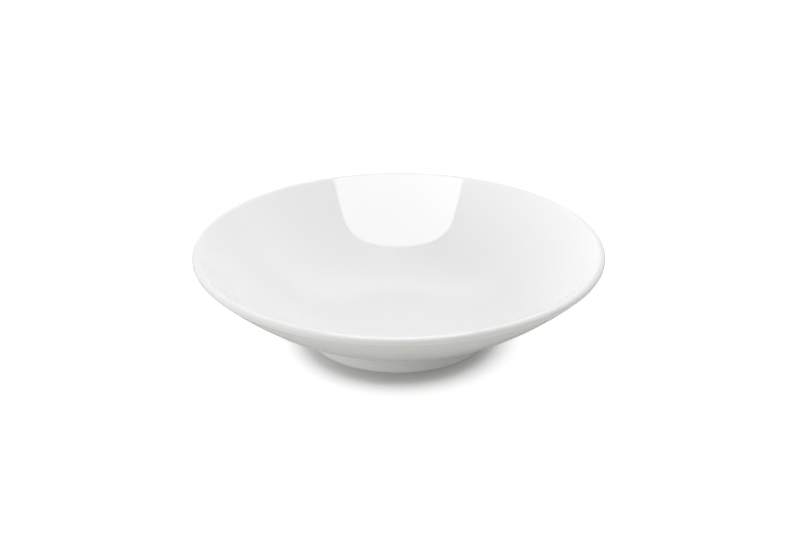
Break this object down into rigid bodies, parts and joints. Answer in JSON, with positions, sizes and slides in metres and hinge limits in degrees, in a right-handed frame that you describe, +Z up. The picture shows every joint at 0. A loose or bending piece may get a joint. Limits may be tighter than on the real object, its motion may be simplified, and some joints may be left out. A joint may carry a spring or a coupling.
{
  "type": "pasta bowl",
  "caption": "Wide shallow round bowl of glossy white ceramic, with a flared curved wall, a plain rounded lip and a low foot ring, for serving pasta or salad.",
  "frame": {"origin": "centre of the plane that the foot ring stands on, on the bowl's axis", "axes": "+Z up along the bowl's axis; X and Y are level, and any turn about Z gives the same bowl"},
  "size_m": [0.28, 0.28, 0.0635],
  "materials": {
    "fired_clay": "bare fired clay, matte and smooth",
    "white_glaze": "glossy white glaze"
  },
  "bodies": {
    "root": {"bowl_body": "fired_clay", "foot_ring": "fired_clay", "bowl_glaze": "white_glaze", "base_glaze": "white_glaze"}
  },
  "joints": []
}
